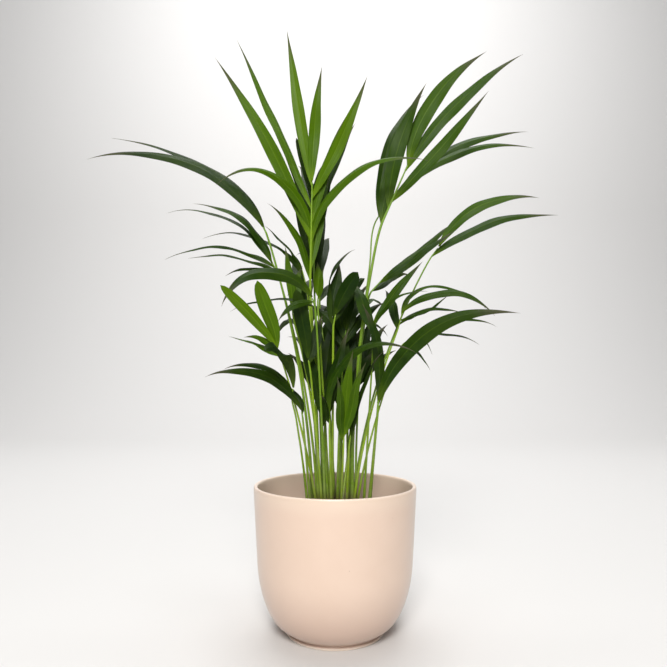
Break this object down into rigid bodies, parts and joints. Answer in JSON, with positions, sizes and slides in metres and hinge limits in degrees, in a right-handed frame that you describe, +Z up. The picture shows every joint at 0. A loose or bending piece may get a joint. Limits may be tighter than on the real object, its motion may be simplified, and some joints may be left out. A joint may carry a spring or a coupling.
{
  "type": "potted palm",
  "caption": "Young feather-leaved palm with slender upright stalks and arching strap leaflets, growing from a root ball in a nursery pot inside a round-bottomed satin ceramic cover pot",
  "frame": {"origin": "centre of the cover pot's foot, on the surface that it stands on", "axes": "+Z up along the pot's axis; the plant's front, the side seen in the picture, faces -Y; +X is to the right as seen from the front"},
  "size_m": [0.5361, 0.3387, 0.6834],
  "materials": {
    "blush_glaze": "satin",
    "nursery_plastic": "satin",
    "potting_mix": "matte",
    "leaf_young": "satin",
    "leaf_mid": "satin",
    "leaf_deep": "satin"
  },
  "bodies": {
    "root": {"cover_pot": "blush_glaze", "frond_back_left": "leaf_mid", "frond_back_low_left": "leaf_deep", "frond_back_low_right": "leaf_deep", "frond_back_right": "leaf_mid", "frond_back_tall": "leaf_mid", "frond_big_arch": "leaf_mid", "frond_centre_back": "leaf_deep", "frond_centre_dark": "leaf_deep", "frond_centre_spear": "leaf_young", "frond_centre_young": "leaf_young", "frond_dark_left": "leaf_deep", "frond_dark_mid": "leaf_deep", "frond_dark_right": "leaf_deep", "frond_front_arch": "leaf_mid", "frond_front_dark_short": "leaf_deep", "frond_front_dark_tall": "leaf_deep", "frond_front_left_fan": "leaf_young", "frond_front_slim": "leaf_mid", "frond_left_slender": "leaf_mid", "frond_left_sweep": "leaf_mid", "frond_left_top": "leaf_mid", "frond_left_young": "leaf_young", "frond_low_left_arch": "leaf_mid", "frond_low_left_pair": "leaf_mid", "frond_low_young": "leaf_young", "frond_right_broad": "leaf_mid", "frond_right_fan": "leaf_mid", "frond_right_inner": "leaf_mid", "frond_right_low": "leaf_mid", "frond_right_pair": "leaf_mid", "frond_right_reach": "leaf_mid", "frond_right_top": "leaf_mid", "frond_right_top_back": "leaf_mid", "frond_top_back": "leaf_deep", "frond_top_fan": "leaf_young", "grow_pot": "nursery_plastic", "soil": "potting_mix"}
  },
  "joints": []
}
